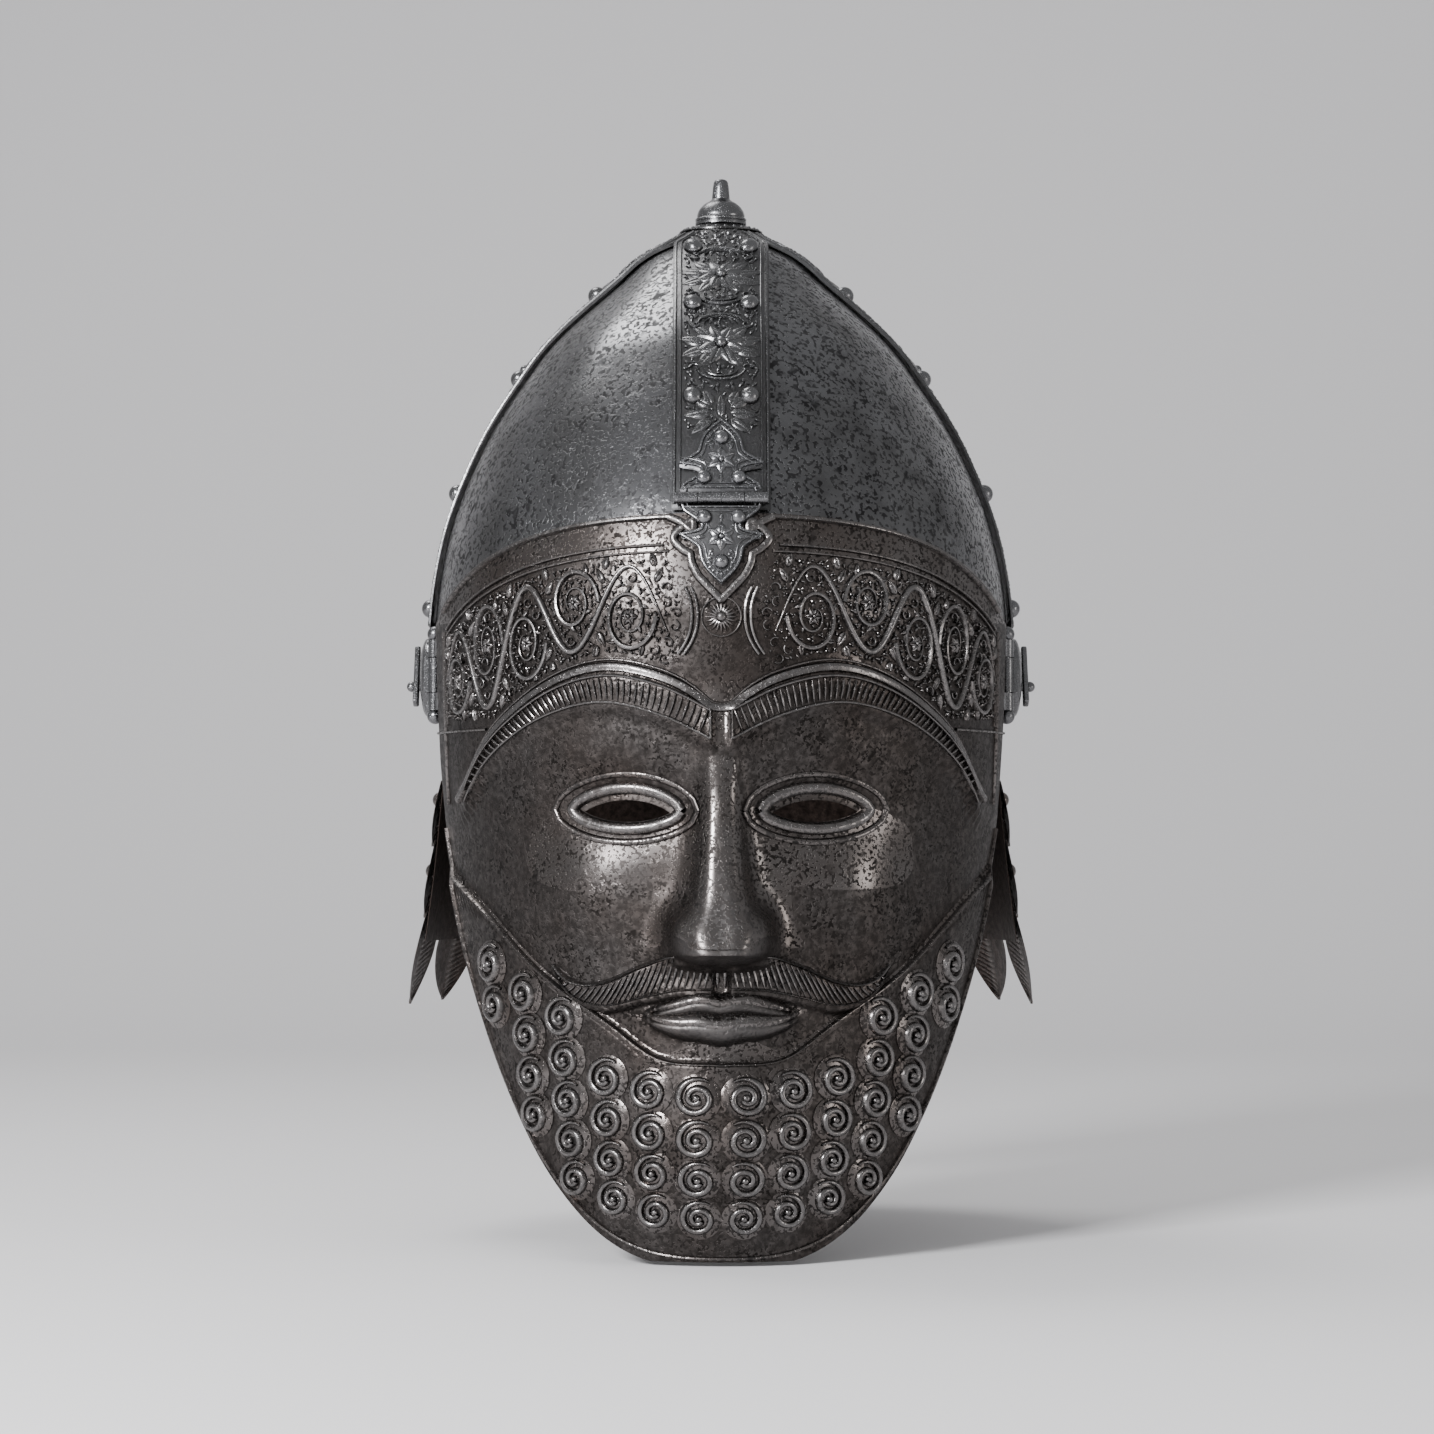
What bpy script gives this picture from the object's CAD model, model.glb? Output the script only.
"""An ottoman helmet with a hinged face mask, in chased and patinated steel.

Modelled in millimetres, face towards -Y, and brought to metres as each piece is finished.
"""

import math

import bmesh
import bpy
from mathutils import Matrix, Vector, noise


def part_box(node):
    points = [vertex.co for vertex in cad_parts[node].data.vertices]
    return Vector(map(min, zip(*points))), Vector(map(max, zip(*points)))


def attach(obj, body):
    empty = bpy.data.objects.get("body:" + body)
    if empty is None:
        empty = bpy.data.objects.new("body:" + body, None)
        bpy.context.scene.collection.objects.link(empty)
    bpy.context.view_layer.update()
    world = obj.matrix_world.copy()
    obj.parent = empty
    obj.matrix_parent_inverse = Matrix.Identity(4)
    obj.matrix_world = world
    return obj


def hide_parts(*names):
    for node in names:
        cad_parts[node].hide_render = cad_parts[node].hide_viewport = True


bl_info = {
    "name": "Ottoman Mask Helmet",
    "version": (1, 0, 0),
    "blender": (4, 5, 0),
    "location": "View3D > Sidebar > Helmet",
    "description": "Builds a banded steel helmet with a hinged face mask and a feathered nape guard",
    "category": "Add Mesh",
}

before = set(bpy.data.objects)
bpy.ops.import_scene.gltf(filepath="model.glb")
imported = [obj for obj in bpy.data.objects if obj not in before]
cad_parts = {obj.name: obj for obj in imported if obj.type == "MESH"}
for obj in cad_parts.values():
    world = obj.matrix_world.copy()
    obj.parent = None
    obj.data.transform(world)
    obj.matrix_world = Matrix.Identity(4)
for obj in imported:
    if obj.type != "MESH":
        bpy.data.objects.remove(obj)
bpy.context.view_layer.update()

MM = 0.001
IMAGE_SIZE = 1434

# Crown, the same sizes as the frame's
CROWN_HALF_WIDTH = 103
CROWN_DEPTH_RATIO = 1.12
CROWN_HEIGHT = 182
CROWN_WALL = 2
CROWN_EDGE = 23.5
# Columns: share of the height, share of the half width
CROWN_SECTIONS = (
    (0, 0.985), (0.11, 0.998), (0.21, 1), (0.32, 0.977), (0.41, 0.94), (0.495, 0.884),
    (0.585, 0.81), (0.67, 0.717), (0.76, 0.602), (0.88, 0.38), (0.935, 0.275), (0.968, 0.17),
)
BAND_GAP = 0.4
BAND_THICKNESS = 1.4
BAND_WIDTH = 32.5
BAND_TOP = 178.6
BAND_RIVET_INSET = 6.8
BAND_REACH = 0.69966
FLOWER_HEIGHTS = (157.4, 129.8)
# Columns: height, and 1 for a crescent that opens upwards or -1 for downwards
CRESCENTS = ((147.2, 1), (139.5, -1), (118.5, 1), (167.5, -1))
FRONT_RIVET_HEIGHTS = (169.6, 145.7, 110.6)
SIDE_RIVET_HEIGHTS = (155.6, 125.8, 85, 44.2)

# Forehead hinge
HINGE_HEIGHT = 75.5
HINGE_BACK = -112.34
HINGE_LENGTH = 31.2
BARREL_RADIUS = 2
LEAF_LENGTH = 27
LEAF_THICKNESS = 1.3
LEAF_SEAT = 0.3
LEAF_DROP = 2.9
LEAF_RIVET_RADIUS = 2.55
# Columns: distance from the leaf's foot, half width
LEAF_OUTLINE = (
    (0.2, 13.2), (2.2, 12.2), (4.3, 9.2), (6.3, 6.8), (7.4, 6.7), (8.3, 8.4), (9.2, 13.4), (10.1, 13.5),
    (11.4, 11.6), (12.8, 9.4), (14.2, 7.6), (15.8, 7.2), (18.2, 6.7), (20.6, 5.6), (22.8, 3.9),
    (24.8, 1.9), (26.6, 0),
)

# Mask
MASK_WALL = 2
MASK_CLEARANCE = 0.8
MASK_TOP_FRONT = 70.5
MASK_TOP_SIDE = 36.5
MASK_SIDE_FOOT = -30
MASK_CHIN = -178
MASK_SIDE_ANGLE = 72
MASK_SEAT = 38
MASK_OVERLAP = 8
# Columns: share of the height from the mask's seat down to the chin, share of the width or the depth
FACE_WIDTHS = ((0, 1), (0.18, 0.985), (0.31, 0.965), (0.51, 0.93), (0.62, 0.9), (0.81, 0.84), (1, 0.76))
FACE_DEPTHS = ((0, 1), (0.18, 0.995), (0.31, 0.975), (0.51, 0.955), (0.62, 0.955), (0.81, 0.955), (1, 0.93))
EYE_HEIGHT = -28
EYE_SPACING = 64
EYE_WIDTH = 31
EYE_OPENING = 9
FACE_ANGLE = 33
BROW_HEIGHT = -8
NOSE_FOOT = -73
NOSE_LENGTH = 22
MOUTH_HEIGHT = -95
MOUTH_WIDTH = 50
CURL_TOP = -65.9
CURL_RISE = 48
CURL_END = 67
CURL_ROWS = 9
CURL_ROOM = 7.8
# Columns: distance from the middle line, height or half depth
BEARD_LINE = ((0, -112), (20, -110), (36, -99), (60, -82), (80, -62), (100, -44))
BROW_ARCH = ((3.1, 0), (19.6, 8), (38.1, 12.05), (53.6, 9), (68, 1), (80.3, -11), (87.6, -24))
BROW_DEPTH = ((3.1, 4.6), (19.6, 4.8), (38.1, 4.4), (53.6, 3.9), (68, 3.1), (80.3, 2.6), (87.6, 2.1))
MOUSTACHE = ((2.1, -83.5), (14.4, -82.5), (25.8, -85.5), (38.1, -89.5), (48.4, -88), (55.6, -81))
MOUSTACHE_DEPTH = ((2.1, 4.2), (14.4, 5.7), (25.8, 5.2), (38.1, 3.8), (48.4, 2.2), (55.6, 0.4))
ROSETTE_HEIGHT = 35.6
VINE_START = 21
VINE_LOBE = 20.4
VINE_LOBES = 5

# Side hasps
HASP_HEIGHT = 19.8
HASP_BARREL_BACK = -28
HASP_BARREL_SIDE = 101.1
HASP_BARREL_RADIUS = 2.5
HASP_PIN_RADIUS = 1.2
HASP_BALL_RADIUS = 2.85
# Columns: lowest and highest point
SIDE_KNUCKLES = ((7.3, 13.4), (26.2, 32.3))
HASP_PLATE_SIDE = 103.5
HASP_THICKNESS = 1.6
HASP_LENGTH = 27
HASP_WIDTH = 26.7
BOSS_BACK = -5
BOSS_RADIUS = 14.1
BOSS_RISE = 3.0
STEM_HEIGHT = 16.5
STEM_RADIUS = 1.6
BUTTON_BAR_SIDE = 108.45
BUTTON_BAR = (2.1, 4.5, 23.2)
BUTTON_KNOB_RADIUS = 1.88

# Nape guard
NAPE_START_ANGLE = 91
NAPE_WALL = 1.4
NAPE_TOP = 10
NAPE_FOOT = -74
NAPE_FLARE = 8.6
NAPE_REACH = 98.1
# Columns: share of the height from the top down, share of the flare
NAPE_FLARES = ((0, 0), (0.12, 0), (0.37, 0.3), (0.7, 0.62), (1, 1))
FEATHER_WALL = 1.0
FEATHER_SEAT = 1.9
# Columns: name, count, heights of the root, the rivet and the tip, and how far the tip stands out
FEATHER_TIERS = (
    ("upper_feather", 11, -17, -24, -40, 2.4),
    ("middle_feather", 10, -38.5, -50, -66, 2.6),
    ("lower_feather", 11, -64.5, None, -97.4, 4.1),
)


def clamp(value, low=0.0, high=1.0):
    return max(low, min(high, value))


def hump(distance, width):
    """A smooth hump of height 1 in the middle, down to 0.37 one width away."""
    return math.exp(-((distance / width) ** 2))


def smooth_step(value, low, high):
    share = clamp((value - low) / (high - low))
    return share * share * (3 - 2 * share)


def along(rows, at):
    """Value of a table at a place between its rows, on a smooth curve through them."""
    i = 0
    while i < len(rows) - 2 and at > rows[i + 1][0]:
        i += 1

    def slope(a, b):
        return (rows[b][1] - rows[a][1]) / (rows[b][0] - rows[a][0])

    here = slope(i, i + 1)
    before = (slope(i - 1, i) + here) / 2 if i > 0 else here
    after = (here + slope(i + 1, i + 2)) / 2 if i < len(rows) - 2 else here
    span = rows[i + 1][0] - rows[i][0]
    t = clamp((at - rows[i][0]) / span, -1, 2)
    bend = t * (1 - t) * span
    return rows[i][1] + here * span * t + bend * ((1 - t) * (before - here) - t * (after - here))


def steps(low, high, count):
    return [low + (high - low) * i / count for i in range(count + 1)]


def arc(x, y, wide, tall, low, high, count, shrink=0.0, turn=0.0):
    """Places along an arc, or along a spiral that shrinks by a share for each radian."""
    path = []
    for a in steps(low, high, count):
        left = 1 - shrink * a
        path.append(Vector((x + wide * left * math.cos(a + turn), y + tall * left * math.sin(a + turn))))
    return path


def on_side(angle, side):
    """A direction in the right half, or its mirror image in the left half."""
    return angle if side > 0 else math.pi - angle


class Sampled:
    """A function of one value, kept as evenly spaced samples for quick reading."""

    def __init__(self, function, low, high, step):
        self.low = low
        self.step = step
        self.values = [function(low + i * step) for i in range(int((high - low) / step) + 2)]

    def __call__(self, at):
        place = clamp((at - self.low) / self.step, 0, len(self.values) - 1.001)
        i = int(place)
        return self.values[i] + (self.values[i + 1] - self.values[i]) * (place - i)


crown_half_width = Sampled(
    lambda z: CROWN_HALF_WIDTH * along(CROWN_SECTIONS, z / CROWN_HEIGHT), -20, 186, 0.5)


def crown_place(degrees, z, lift):
    """A place on the crown, lifted square to it. The angle is 0 at the forehead, 90 at the right."""
    width = crown_half_width(z)
    depth = width * CROWN_DEPTH_RATIO
    slope = (crown_half_width(z + 0.5) - crown_half_width(z - 0.5)) / width
    sine = math.sin(math.radians(degrees))
    cosine = math.cos(math.radians(degrees))
    normal = Vector((sine / width, -cosine / depth, -slope)).normalized()
    return Vector((width * sine, -depth * cosine, z)) + normal * lift


def climb(low, high):
    """Length along the crown's side between two heights, sampled every half millimetre."""
    lengths = [0.0]
    z = low
    while z < high:
        rise = crown_half_width(z + 0.5) - crown_half_width(z)
        lengths.append(lengths[-1] + math.hypot(0.5, rise))
        z += 0.5
    return lengths


CLIMB = climb(0, 184)


def height_at(length):
    """Height on the crown after a length along its side from the rim."""
    low, high = 0, len(CLIMB) - 1
    while high - low > 1:
        middle = (low + high) // 2
        low, high = (middle, high) if CLIMB[middle] <= length else (low, middle)
    share = (length - CLIMB[low]) / (CLIMB[high] - CLIMB[low])
    return (low + share) * 0.5


def length_at(z):
    i = int(clamp(z * 2, 0, len(CLIMB) - 2))
    return CLIMB[i] + (CLIMB[i + 1] - CLIMB[i]) * (z * 2 - i)


def band_spread(middle):
    """How much wider the crown's section is across this band than its half width."""
    return CROWN_DEPTH_RATIO if abs(math.sin(math.radians(middle))) > 0.5 else 1


def band_face(middle):
    """The outer face of a band: x is sideways and y the length up from the rim."""
    across = band_spread(middle)

    def face(x, y, lift):
        z = height_at(y)
        width = crown_half_width(z) * across
        degrees = math.degrees(math.asin(clamp(x / width, -BAND_REACH, BAND_REACH)))
        return crown_place(middle + degrees, z, BAND_GAP + BAND_THICKNESS + lift)

    return face


def mask_top(degrees):
    return MASK_TOP_FRONT + (MASK_TOP_SIDE - MASK_TOP_FRONT) * (abs(degrees) / MASK_SIDE_ANGLE) ** 2.8


def mask_foot(degrees):
    return MASK_CHIN + (MASK_SIDE_FOOT - MASK_CHIN) * (abs(degrees) / MASK_SIDE_ANGLE) ** 2.9


def face_share(rows):
    drop = MASK_SEAT - MASK_CHIN
    return Sampled(lambda z: along(rows, (MASK_SEAT - z) / drop) if z < MASK_SEAT else 1, -200, 90, 0.5)


face_width = face_share(FACE_WIDTHS)
face_depth = face_share(FACE_DEPTHS)
GROWTH = MASK_CLEARANCE + MASK_WALL


def mask_spans(z):
    width = crown_half_width(max(z, MASK_SEAT))
    return (width + GROWTH) * face_width(z), (width * CROWN_DEPTH_RATIO + GROWTH) * face_depth(z)


def broad_relief(x, z):
    """How far the broad forms of the face stand out of the plain mask."""
    side = abs(x)
    share = clamp((BROW_HEIGHT - z) / (BROW_HEIGHT - NOSE_FOOT))
    fade = hump(z - NOSE_FOOT, 4.5) if z < NOSE_FOOT else 1
    root = hump(max(0, z - BROW_HEIGHT), 12)
    rise = NOSE_LENGTH * (0.16 * root + 0.84 * share ** 1.25) * fade
    ridge = 6.5 + 4.5 * share ** 2
    nose = rise / (1 + (side / ridge) ** 4)
    wings = 7 * hump(side - 12, 5.5) * hump(z - NOSE_FOOT - 6, 7.5)
    socket = -6 * hump(side - 31, 20) * hump(z - EYE_HEIGHT - 2, 12)
    eyeball = 4.2 * hump(side - EYE_SPACING / 2, 13) * hump(z - EYE_HEIGHT + 0.5, 8.5)
    cheek = 3.5 * hump(side - 46, 18) * hump(z - (EYE_HEIGHT + NOSE_FOOT) / 2 + 6, 18)
    muzzle = 3.5 * hump(side, MOUTH_WIDTH * 0.6) * hump(z - MOUTH_HEIGHT, 20)
    chin = 6 * hump(side, 26) * hump(z - MASK_CHIN - 42, 26)
    return nose + wings + socket + eyeball + cheek + muzzle + chin


def across_face(rows):
    """A table by the distance from the middle line, sampled out to the ear."""
    return Sampled(lambda side: along(rows, side), 0, 130, 0.5)


beard_line = across_face(BEARD_LINE)
brow_line = across_face(BROW_ARCH)
brow_depth = across_face(BROW_DEPTH)
moustache_line = across_face(MOUSTACHE)
moustache_depth = across_face(MOUSTACHE_DEPTH)


def lip(share, height):
    """Rounded section of one lip, from the parting line to its edge."""
    return height * max(0, 4 * share * (1 - share)) ** 0.8 if 0 < share < 1 else 0


def lips(side, z):
    half = MOUTH_WIDTH / 2
    if side >= half:
        return 0
    spread = 1 - (side / half) ** 2
    parting = MOUTH_HEIGHT + 0.8 * hump(side - 7, 5) - 0.6 * (1 - spread)
    upper = 7 * spread ** 0.9 * (1 - 0.2 * hump(side, 3))
    lower = 9.5 * spread ** 0.8
    return max(lip((z - parting) / max(upper, 0.2), 3.6 * spread ** 0.4),
               lip((parting - z) / max(lower, 0.2), 4.6 * spread ** 0.4))


def fine_relief(x, z):
    """The smaller forms: brow ridges, lips, moustache and the step up to the beard."""
    side = abs(x)
    depth = brow_depth(side)
    brow = 1.7 * (1 - smooth_step(abs(z - brow_line(side)), depth, depth + 2.6))
    brow *= smooth_step(side, 1.5, 3.5) * (1 - smooth_step(side, 84, 92))
    depth = moustache_depth(side)
    body = 2.4 * (1 - smooth_step(abs(z - moustache_line(side)), depth - 0.6, depth + 1.2))
    body *= smooth_step(side, 1.6, 3.4) * (1 - smooth_step(side, 52, 57))
    beard = 1.6 * smooth_step(beard_line(side) - z, -1.2, 1.2)
    return max(brow, body, beard, lips(side, z))


def mask_normal(sine, cosine, half_width, depth, z):
    higher = mask_spans(z + 1)
    lower = mask_spans(z - 1)
    lean = ((higher[0] - lower[0]) / 2 * sine ** 2 / half_width
            + (higher[1] - lower[1]) / 2 * cosine ** 2 / depth)
    return Vector((sine / half_width, -cosine / depth, -lean)).normalized()


def mask_place(degrees, z, lift):
    """A place on the mask's outer surface, lifted square to its plain form."""
    half_width, depth = mask_spans(z)
    sine = math.sin(math.radians(degrees))
    cosine = math.cos(math.radians(degrees))
    normal = mask_normal(sine, cosine, half_width, depth, z)
    rise = 0
    if z < MASK_SEAT:
        x = half_width * sine
        rise = (broad_relief(x, z) + fine_relief(x, z)) * smooth_step(MASK_SEAT - z, 0, 16)
    return Vector((half_width * sine, -depth * cosine, z)) + normal * (rise + lift)


def girth_samples():
    """Length round the plain mask from its middle line, one value a degree, for unit half width."""
    lengths = [0.0]
    for degree in range(1, 91):
        a, b = math.radians(degree - 1), math.radians(degree)
        ahead = (math.sin(b) - math.sin(a), CROWN_DEPTH_RATIO * (math.cos(b) - math.cos(a)))
        lengths.append(lengths[-1] + math.hypot(*ahead))
    return lengths


GIRTH = girth_samples()


def girth_at(degrees):
    """Length round the mask to an angle, for unit half width."""
    i = int(degrees)
    return GIRTH[i] + (GIRTH[min(i + 1, 90)] - GIRTH[i]) * (degrees - i)


def mask_degrees(length, z):
    """The angle round the mask after a length sideways from its middle line."""
    share = abs(length) / mask_spans(z)[0]
    degree = 0
    while degree < 89 and GIRTH[degree + 1] < share:
        degree += 1
    angle = degree + (share - GIRTH[degree]) / (GIRTH[degree + 1] - GIRTH[degree])
    return math.copysign(min(angle, 89), length)


def mask_face(x, y, lift):
    """The mask's outer face: x is the length round it from the middle line and y the height."""
    return mask_place(mask_degrees(x, y), y, lift)


def nape_place(degrees, z, lift):
    drop = (NAPE_TOP - z) / (NAPE_TOP - NAPE_FOOT)
    flare = NAPE_FLARE * along(NAPE_FLARES, drop)
    sine = math.sin(math.radians(degrees))
    cosine = -math.cos(math.radians(degrees))
    normal = Vector((sine, cosine / CROWN_DEPTH_RATIO, 0)).normalized()
    place = Vector((NAPE_REACH * sine, NAPE_REACH * CROWN_DEPTH_RATIO * cosine, z))
    return place + normal * (flare + lift)


# Flat shapes: x and y lie in the plate and z is the height of the relief


def new_mesh():
    bm = bmesh.new()
    bm.verts.layers.float.new("rub")
    bm.verts.layers.float.new("grime")
    return bm


def mirror_across(bm):
    """Adds the left half as the right half's mirror image."""
    bm.normal_update()
    before = set(bm.faces)
    ahead = sum(face.normal.y * face.calc_area() for face in before)
    bmesh.ops.mirror(bm, geom=bm.verts[:] + bm.edges[:] + bm.faces[:], axis="X", merge_dist=0)
    bm.normal_update()
    made = [face for face in bm.faces if face not in before]
    if sum(face.normal.y * face.calc_area() for face in made) * ahead < 0:
        bmesh.ops.reverse_faces(bm, faces=made)


def add_grid(bm, columns, rows, place):
    """A grid whose vertices are moved to place(column, row)."""
    made = bmesh.ops.create_grid(bm, x_segments=len(columns) - 1, y_segments=len(rows) - 1, size=0.5)
    for vertex in made["verts"]:
        i = round((vertex.co.x + 0.5) * (len(columns) - 1))
        j = round((vertex.co.y + 0.5) * (len(rows) - 1))
        vertex.co = place(columns[i], rows[j])
    return made["verts"]


def smooth_path(points, count):
    """Evenly shared places on a smooth curve through flat points."""
    points = [Vector(point).to_2d() for point in points]
    path = []
    for k in range(count + 1):
        t = k / count * (len(points) - 1)
        i = min(int(t), len(points) - 2)
        u = t - i
        before = points[max(i - 1, 0)]
        start, end = points[i], points[i + 1]
        after = points[min(i + 2, len(points) - 1)]
        path.append(0.5 * (2 * start + (end - before) * u
                           + (2 * before - 5 * start + 4 * end - after) * u * u
                           + (3 * start - before - 3 * end + after) * u ** 3))
    return path


def full(share):
    return 1


def both_ends(share):
    return 0.15 + 0.85 * math.sin(math.pi * clamp(share, 0.02, 0.98)) ** 0.6


def far_end(share):
    return 1 - 0.85 * share ** 1.5


def add_ridge(bm, path, width, height, taper=full, sides=4, base=-0.25):
    """A raised line of rounded section along a flat path."""
    count = len(path) - 1

    def place(i, across):
        here = path[i]
        ahead = path[min(i + 1, count)] - path[max(i - 1, 0)]
        ahead = ahead.normalized() if ahead.length > 1e-6 else Vector((1, 0))
        aside = Vector((-ahead.y, ahead.x))
        share = taper(i / count)
        point = here + aside * (across * width / 2 * share)
        crest = height * (0.35 + 0.65 * share) * math.sqrt(max(0, 1 - across ** 2))
        return Vector((point.x, point.y, crest if abs(across) < 0.99 else base))

    return add_grid(bm, range(count + 1), steps(-1, 1, sides), place)


def add_leaf(bm, x, y, turn, length, width, height, ribs=5, fullness=0.5, rows=12):
    """A pointed leaf or petal from its root, with a groove along it and slanting ribs."""
    turned = Matrix.Rotation(turn, 2)

    def place(u, v):
        swell = math.sin(math.pi * u ** (0.9 - fullness * 0.4)) ** 0.75 if 0 < u < 1 else 0.02
        flat = turned @ Vector((u * length, v * width / 2 * swell))
        crown = (1 - v * v) ** 0.5 if abs(v) < 1 else 0
        groove = 0.35 * hump(v, 0.16) if width > 2 else 0
        rib = 0.12 * math.sin(2 * math.pi * ribs * (u - 0.35 * abs(v))) * (1 - abs(v)) if ribs else 0
        lift = height * swell * (crown * (0.85 + rib) - groove) - (0.25 if abs(v) >= 0.999 else 0)
        return Vector((x + flat.x, y + flat.y, lift))

    return add_grid(bm, steps(0, 1, rows), steps(-1, 1, 8 if width > 2 else 4), place)


def add_flower(bm, x, y, radius, petals, height, turn=0.0, ribs=4, core=0.17, fullness=0.9):
    """Petals round a small domed core."""
    verts = []
    for k in range(petals):
        angle = turn + 2 * math.pi * k / petals
        start = radius * core * 0.7
        width = 2 * math.pi * radius * 0.76 / petals
        verts += add_leaf(bm, x + start * math.cos(angle), y + start * math.sin(angle), angle,
                          radius - start, width, height, ribs, fullness, rows=10)
    verts += add_ball(bm, x, y, radius * core, height * 0.6)
    return verts


def add_cylinder(bm, radius, length, place, segments=28):
    """A closed cylinder along its own upright axis."""
    return bmesh.ops.create_cone(bm, cap_ends=True, segments=segments, radius1=radius, radius2=radius,
                                 depth=length, matrix=place)["verts"]


def add_upright(bm, radius, low, high, x, y, segments=28):
    """A closed cylinder that stands between two heights."""
    return add_cylinder(bm, radius, high - low, Matrix.Translation((x, y, (low + high) / 2)), segments)


def add_block(bm, centre, size, turn=Matrix()):
    """A block of a size, turned about its centre."""
    place = Matrix.Translation(centre) @ turn @ Matrix.Diagonal((*size, 1))
    return bmesh.ops.create_cube(bm, size=1, matrix=place)["verts"]


def add_sphere(bm, radius, centre, segments=24, rings=16):
    return bmesh.ops.create_uvsphere(bm, u_segments=segments, v_segments=rings, radius=radius,
                                     matrix=Matrix.Translation(centre))["verts"]


def bevel(bm, edges, offset, segments):
    bmesh.ops.bevel(bm, geom=edges, offset=offset, segments=segments, profile=0.5,
                    affect="EDGES", material=-1)


def set_rub(bm, verts, share):
    """Marks how far vertices are rubbed bright."""
    rub = bm.verts.layers.float["rub"]
    for vertex in verts:
        vertex[rub] = share


def add_ball(bm, x, y, radius, base=0.0, segments=14):
    """A round bead or rivet head on the plate, its hidden half pressed flat."""
    made = bmesh.ops.create_uvsphere(bm, u_segments=segments, v_segments=segments // 2 + 2, radius=radius)
    for vertex in made["verts"]:
        vertex.co = Vector((vertex.co.x + x, vertex.co.y + y, max(vertex.co.z, -0.3) + base))
    return made["verts"]


def fill_ground(bm, verts, inside, corners, sizes, height=1.0, cell=0.5):
    """Fills the free ground between raised shapes with small ornaments, the largest first."""
    taken = {(round(vertex.co.x / cell), round(vertex.co.y / cell)) for vertex in verts}
    made = []
    turn = 0.6
    low, high = corners
    for size in sizes:
        reach = math.ceil(size / cell)
        near = [(i, j) for i in range(-reach, reach + 1) for j in range(-reach, reach + 1)
                if math.hypot(i, j) * cell < size]
        for y in steps(low[1], high[1], int((high[1] - low[1]) / 0.7)):
            for x in steps(low[0], high[0], int((high[0] - low[0]) / 0.7)):
                at = (round(x / cell), round(y / cell))
                if not inside(x, y, size) or any((at[0] + i, at[1] + j) in taken for i, j in near):
                    continue
                taken.update((at[0] + i, at[1] + j) for i, j in near)
                turn += 2.4
                made += add_filler(bm, x, y, size * 0.95, turn, height)
    return made


def add_filler(bm, x, y, size, turn, height):
    """One small ornament that fills a round space: a curl, a sprig of three leaves or a single leaf."""
    if size > 2.3:
        path = arc(x, y, size * 0.84, size * 0.84, 0, 6.6, 18, shrink=0.131, turn=turn)
        return add_ridge(bm, path, size * 0.34, height, far_end)
    if size > 1.3:
        verts = []
        for lean in (-2.1, 0, 2.1):
            verts += add_leaf(bm, x, y, turn + lean, size, size * 0.72, height, 0, rows=5)
        return verts
    back = Vector((math.cos(turn), math.sin(turn))) * size
    return add_leaf(bm, x - back.x, y - back.y, turn, size * 2, size * 1.1, height * 0.9, 0, rows=5)


def add_curl(bm, x, y, radius, height=3.0, turns=1.75):
    """A snail curl: a round coil that climbs inwards to a small bead."""
    made = bmesh.ops.create_uvsphere(bm, u_segments=20, v_segments=7, radius=1)
    for vertex in made["verts"]:
        across = radius * 0.98
        dome = max(vertex.co.z, -0.2)
        vertex.co = Vector((x + vertex.co.x * across, y + vertex.co.y * across, dome * height * 0.45))
    path = []
    for share in steps(0, 1, 44):
        reach = radius * (0.8 - 0.64 * share)
        angle = math.pi * (0.7 - 2 * turns * share)
        path.append(Vector((x + reach * math.cos(angle), y + reach * math.sin(angle))))
    coil = add_ridge(bm, path, radius * 0.34, height * 0.6,
                     taper=lambda share: min(1, 0.3 + 5 * share) - 0.3 * share, sides=6, base=0)
    for vertex in coil:
        away = min(math.hypot(vertex.co.x - x, vertex.co.y - y) / radius, 1)
        vertex.co.z += height * 0.25 * (1 - away) + height * 0.3 * math.sqrt(1 - away ** 2)
    return made["verts"] + coil + add_ball(bm, x, y, radius * 0.16, height * 0.62, segments=8)


def wrap(bm, verts, face, rub_height=1.1):
    """Lays flat shapes on a surface and marks how far each place is rubbed bright."""
    rub = bm.verts.layers.float["rub"]
    grime = bm.verts.layers.float["grime"]
    for vertex in verts:
        x, y, lift = vertex.co
        vertex[rub] = smooth_step(lift, 0.12 * rub_height, 0.9 * rub_height)
        vertex[grime] = 0.75 * (1 - smooth_step(lift, -0.25, 0.2))
        vertex.co = face(x, y, lift)


def smooth_mesh(name, bm):
    """Turns a mesh under work into smooth mesh data and frees it."""
    mesh = bpy.data.meshes.new(name)
    bm.to_mesh(mesh)
    bm.free()
    for polygon in mesh.polygons:
        polygon.use_smooth = True
    return mesh


def link_object(name, data):
    item = bpy.data.objects.new(name, data)
    bpy.context.scene.collection.objects.link(item)
    return item


def finish_piece(name, bm, body, slot, replaces=(), crease=38):
    """Turns a finished mesh to metres, shades it and names what it stands for."""
    bmesh.ops.scale(bm, vec=(MM, MM, MM), verts=bm.verts)
    mesh = smooth_mesh(name, bm)
    mesh.set_sharp_from_angle(angle=math.radians(crease))
    piece = link_object(name, mesh)
    mesh.materials.append(steel_material(slot))
    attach(piece, body)
    if replaces:
        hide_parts(*replaces)


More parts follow.
